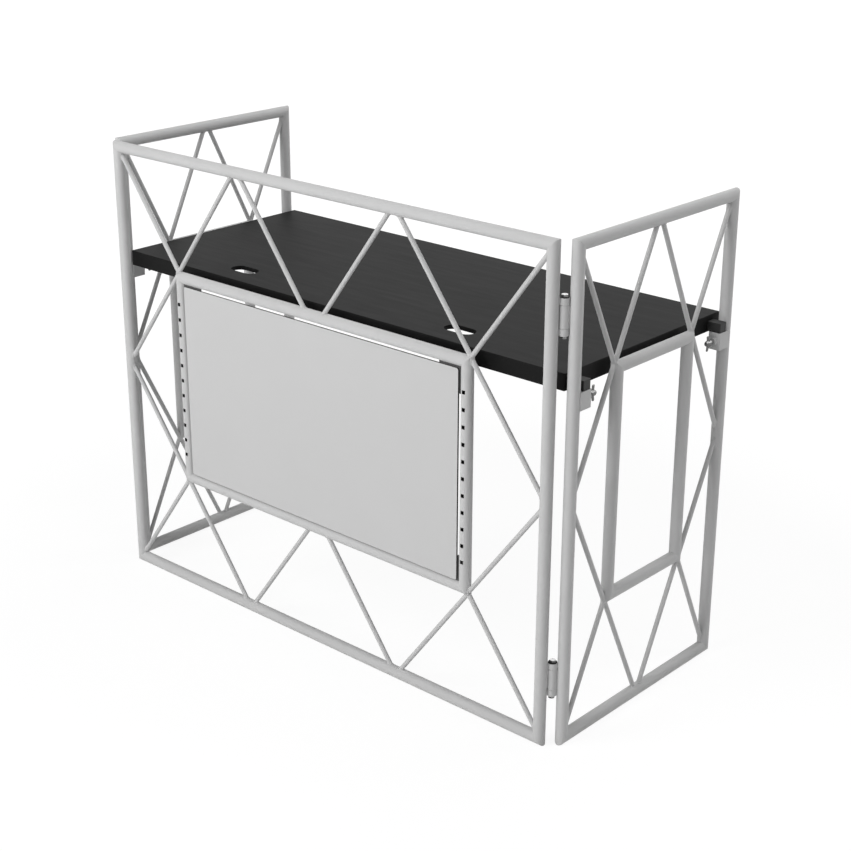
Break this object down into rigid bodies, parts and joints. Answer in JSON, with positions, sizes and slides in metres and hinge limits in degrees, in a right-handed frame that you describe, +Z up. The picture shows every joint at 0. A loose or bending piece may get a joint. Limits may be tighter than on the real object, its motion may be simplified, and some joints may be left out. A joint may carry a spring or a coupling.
{
  "type": "dj booth",
  "caption": "Folding DJ booth: tube-and-rod front frame with a screen panel, hinged side wings and a black tabletop resting on clamp brackets.",
  "frame": {"origin": "on the floor under the middle of the booth's bounding box, wings open square and tabletop seated", "axes": "+Z up, -Y towards the audience (the front frame's face), +X to the right for someone facing the front from the audience side"},
  "size_m": [1.467, 0.625, 1.15],
  "materials": {
    "silver_paint": "satin silver-grey coat",
    "panel_grey": "smooth matt sheet",
    "zinc_steel": "bright zinc plate",
    "black_washer": "moulded, matt",
    "black_laminate": "board with black low-gloss laminate",
    "black_lug": "moulded block, fine texture",
    "cast_screw": "cast, zinc plated"
  },
  "bodies": {
    "front_frame": {"front_left_upright": "silver_paint", "front_right_upright": "silver_paint", "front_top_rail": "silver_paint", "front_bottom_rail": "silver_paint", "screen_left_post": "silver_paint", "screen_right_post": "silver_paint", "screen_top_rail": "silver_paint", "screen_bottom_rail": "silver_paint", "front_lattice_rods": "silver_paint", "screen_panel": "panel_grey", "screen_corner_plates": "silver_paint", "hinge_frame_knuckles": "silver_paint", "hinge_bolts": "zinc_steel", "hinge_nuts": "zinc_steel", "hinge_washers": "black_washer"},
    "right_wing": {"right_front_upright": "silver_paint", "right_rear_upright": "silver_paint", "right_top_rail": "silver_paint", "right_bottom_rail": "silver_paint", "right_window_front_post": "silver_paint", "right_window_rear_post": "silver_paint", "right_window_top_rail": "silver_paint", "right_window_bottom_rail": "silver_paint", "right_lattice_rods": "silver_paint", "right_hinge_sleeves": "silver_paint", "right_table_brackets": "silver_paint", "right_screw_bosses": "silver_paint"},
    "left_wing": {"left_front_upright": "silver_paint", "left_rear_upright": "silver_paint", "left_top_rail": "silver_paint", "left_bottom_rail": "silver_paint", "left_window_front_post": "silver_paint", "left_window_rear_post": "silver_paint", "left_window_top_rail": "silver_paint", "left_window_bottom_rail": "silver_paint", "left_lattice_rods": "silver_paint", "left_hinge_sleeves": "silver_paint", "left_table_brackets": "silver_paint", "left_screw_bosses": "silver_paint"},
    "tabletop": {"tabletop_board": "black_laminate", "tabletop_lugs": "black_lug"},
    "right_front_screw": {"right_front_wing_screw": "cast_screw"},
    "right_rear_screw": {"right_rear_wing_screw": "cast_screw"},
    "left_front_screw": {"left_front_wing_screw": "cast_screw"},
    "left_rear_screw": {"left_rear_wing_screw": "cast_screw"}
  },
  "joints": [
    {"name": "right_wing_swing", "type": "hinge", "parent": "front_frame", "child": "right_wing", "pos_m": [0.7005, -0.281, 0.575], "axis": [0, 0, -1], "range_deg": [0, 90]},
    {"name": "left_wing_swing", "type": "hinge", "parent": "front_frame", "child": "left_wing", "pos_m": [-0.7005, -0.281, 0.575], "axis": [0, 0, 1], "range_deg": [0, 90]},
    {"name": "tabletop_lift", "type": "slide", "parent": "front_frame", "child": "tabletop", "axis": [0, 0, 1], "range_m": [0, 0.15]},
    {"name": "right_front_screw_turn", "type": "hinge", "parent": "right_wing", "child": "right_front_screw", "pos_m": [0.718, -0.2085, 0.806], "axis": [0, 1, 0], "range_deg": [0, 810]},
    {"name": "right_rear_screw_turn", "type": "hinge", "parent": "right_wing", "child": "right_rear_screw", "pos_m": [0.718, 0.2435, 0.806], "axis": [0, -1, 0], "range_deg": [0, 810]},
    {"name": "left_front_screw_turn", "type": "hinge", "parent": "left_wing", "child": "left_front_screw", "pos_m": [-0.718, -0.2085, 0.806], "axis": [0, 1, 0], "range_deg": [0, 810]},
    {"name": "left_rear_screw_turn", "type": "hinge", "parent": "left_wing", "child": "left_rear_screw", "pos_m": [-0.718, 0.2435, 0.806], "axis": [0, -1, 0], "range_deg": [0, 810]}
  ]
}
